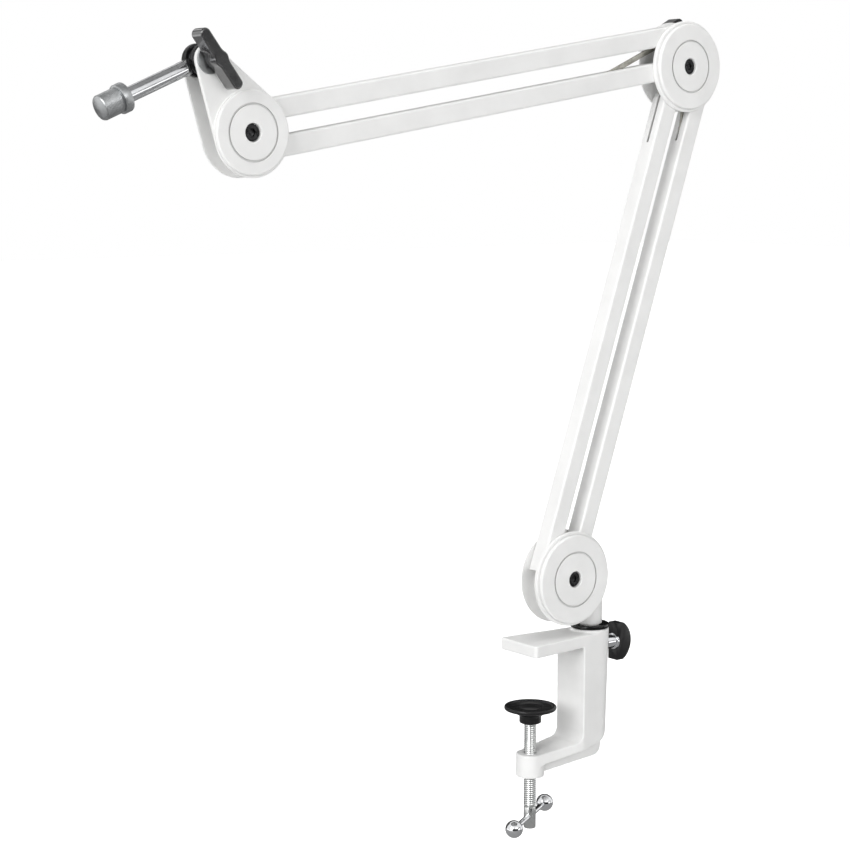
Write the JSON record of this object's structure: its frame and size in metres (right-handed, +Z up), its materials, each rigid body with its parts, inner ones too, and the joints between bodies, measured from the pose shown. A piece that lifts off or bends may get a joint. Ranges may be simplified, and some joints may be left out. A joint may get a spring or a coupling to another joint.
{
  "type": "microphone boom arm",
  "caption": "Spring-balanced microphone boom arm with parallel square tubes, round joint discs, a C-shaped desk clamp on a swivel post and a threaded microphone stud.",
  "frame": {"origin": "underside of the upper clamp jaw, on the clamp screw's axis", "axes": "+Z up, the arm lies in the plane Y = 0 and its head reaches towards -X, -Y is the front with the bolt heads"},
  "size_m": [0.5129, 0.0508, 0.5835],
  "materials": {
    "white_coat": "satin white powder coat",
    "black_gloss": "glossy black",
    "black_plastic": "satin black, fine grain",
    "chrome": "polished",
    "zinc_steel": "bright zinc plate",
    "spring_steel": "oiled spring steel",
    "black_steel": "black oxide",
    "nylon": "natural nylon"
  },
  "bodies": {
    "clamp": {"clamp_frame": "white_coat", "socket_bush": "black_gloss"},
    "pad": {"screw_pad": "black_plastic"},
    "screw": {"clamp_screw": "zinc_steel"},
    "tommy": {"tommy_bar": "chrome", "tommy_balls": "chrome"},
    "lock_tip": {"lock_tip": "nylon"},
    "lock": {"lock_screw": "zinc_steel", "lock_ferrule": "chrome", "lock_knob": "black_plastic"},
    "base": {"swivel_post": "white_coat", "base_front_disc": "white_coat", "base_rear_disc": "white_coat", "base_bolt": "black_steel", "base_nut": "zinc_steel", "base_pivot_stubs": "zinc_steel"},
    "lower_main": {"lower_right_tube": "white_coat", "lower_right_bushes": "nylon", "lower_spring": "spring_steel", "lower_spring_anchor": "zinc_steel"},
    "lower_link": {"lower_left_tube": "white_coat", "lower_left_bushes": "nylon"},
    "lower_strap": {"lower_strap": "spring_steel"},
    "elbow": {"elbow_front_disc": "white_coat", "elbow_rear_disc": "white_coat", "elbow_bolt": "black_steel", "elbow_nut": "zinc_steel", "elbow_pivot_stubs": "zinc_steel", "strap_anchor_pin": "zinc_steel", "elbow_lock_bolt": "zinc_steel", "elbow_knob_washer": "zinc_steel"},
    "elbow_knob": {"elbow_knob": "black_plastic"},
    "upper_main": {"upper_bottom_tube": "white_coat", "upper_bottom_bushes": "nylon", "upper_spring": "spring_steel", "upper_spring_anchor": "zinc_steel"},
    "upper_link": {"upper_top_tube": "white_coat", "upper_top_bushes": "nylon", "upper_strap": "spring_steel"},
    "head": {"head_front_disc": "white_coat", "head_rear_disc": "white_coat", "head_front_plate": "white_coat", "head_rear_plate": "white_coat", "head_spacer": "zinc_steel", "head_bolt": "black_steel", "head_nut": "zinc_steel", "head_pivot_stubs": "zinc_steel", "stud_washers": "chrome", "head_lock_bolt": "zinc_steel", "head_knob_washer": "zinc_steel"},
    "head_knob": {"head_knob": "black_plastic"},
    "stud": {"mic_stud": "chrome", "mic_thread": "chrome"}
  },
  "joints": [
    {"name": "clamp_pad_slide", "type": "slide", "parent": "clamp", "child": "pad", "axis": [0, 0, 1], "range_m": [-0.018, 0.022]},
    {"name": "clamp_screw_turn", "type": "hinge", "parent": "pad", "child": "screw", "pos_m": [0, 0, -0.09], "axis": [0, 0, 1], "range_deg": [-4320, 5280]},
    {"name": "tommy_bar_slide", "type": "slide", "parent": "screw", "child": "tommy", "axis": [0.866, 0.5, 0], "range_m": [-0.022, 0.022]},
    {"name": "lock_tip_slide", "type": "slide", "parent": "clamp", "child": "lock_tip", "axis": [1, 0, 0], "range_m": [0, 0.003]},
    {"name": "lock_screw_turn", "type": "hinge", "parent": "lock_tip", "child": "lock", "pos_m": [0.07, 0, -0.0037], "axis": [1, 0, 0], "range_deg": [0, 1080]},
    {"name": "base_swivel", "type": "hinge", "parent": "clamp", "child": "base", "pos_m": [0.0565, 0, 0], "axis": [0, 0, 1], "continuous": true},
    {"name": "lower_arm_tilt", "type": "hinge", "parent": "base", "child": "lower_main", "pos_m": [0.0432, 0, 0.0719], "axis": [0, 1, 0], "range_deg": [-60, 18]},
    {"name": "lower_link_tilt", "type": "hinge", "parent": "base", "child": "lower_link", "pos_m": [0.0127, 0, 0.0656], "axis": [0, 1, 0], "range_deg": [-60, 18]},
    {"name": "elbow_level", "type": "hinge", "parent": "lower_main", "child": "elbow", "pos_m": [0.15711, 0, 0.40179], "axis": [0, 1, 0], "range_deg": [-18, 60]},
    {"name": "lower_strap_turn", "type": "hinge", "parent": "elbow", "child": "lower_strap", "pos_m": [0.14811, 0, 0.41479], "axis": [0, 1, 0], "range_deg": [-51, 15.3]},
    {"name": "upper_arm_tilt", "type": "hinge", "parent": "elbow", "child": "upper_main", "pos_m": [0.13861, 0, 0.41679], "axis": [0, 1, 0], "range_deg": [-20, 45]},
    {"name": "upper_link_tilt", "type": "hinge", "parent": "elbow", "child": "upper_link", "pos_m": [0.13861, 0, 0.44109], "axis": [0, 1, 0], "range_deg": [-20, 45]},
    {"name": "head_level", "type": "hinge", "parent": "upper_main", "child": "head", "pos_m": [-0.22423, 0, 0.35542], "axis": [0, 1, 0], "range_deg": [-45, 20]},
    {"name": "mic_stud_tilt", "type": "hinge", "parent": "head", "child": "stud", "pos_m": [-0.2677, 0, 0.40912], "axis": [0, 1, 0], "range_deg": [-60, 110]},
    {"name": "head_knob_turn", "type": "hinge", "parent": "head", "child": "head_knob", "pos_m": [-0.2677, 0, 0.40912], "axis": [0, -1, 0], "range_deg": [-30, 360]},
    {"name": "elbow_knob_turn", "type": "hinge", "parent": "elbow", "child": "elbow_knob", "pos_m": [0.13861, 0, 0.44109], "axis": [0, 1, 0], "range_deg": [-30, 360]}
  ],
  "couplings": [
    {"joint": "clamp_pad_slide", "follows": "clamp_screw_turn", "m_per_rad": 0.00023873},
    {"joint": "lock_tip_slide", "follows": "lock_screw_turn", "m_per_rad": 0.00015915},
    {"joint": "lower_link_tilt", "follows": "lower_arm_tilt", "ratio": 1},
    {"joint": "elbow_level", "follows": "lower_arm_tilt", "ratio": -1},
    {"joint": "lower_strap_turn", "follows": "lower_arm_tilt", "ratio": 0.85},
    {"joint": "upper_link_tilt", "follows": "upper_arm_tilt", "ratio": 1},
    {"joint": "head_level", "follows": "upper_arm_tilt", "ratio": -1}
  ]
}
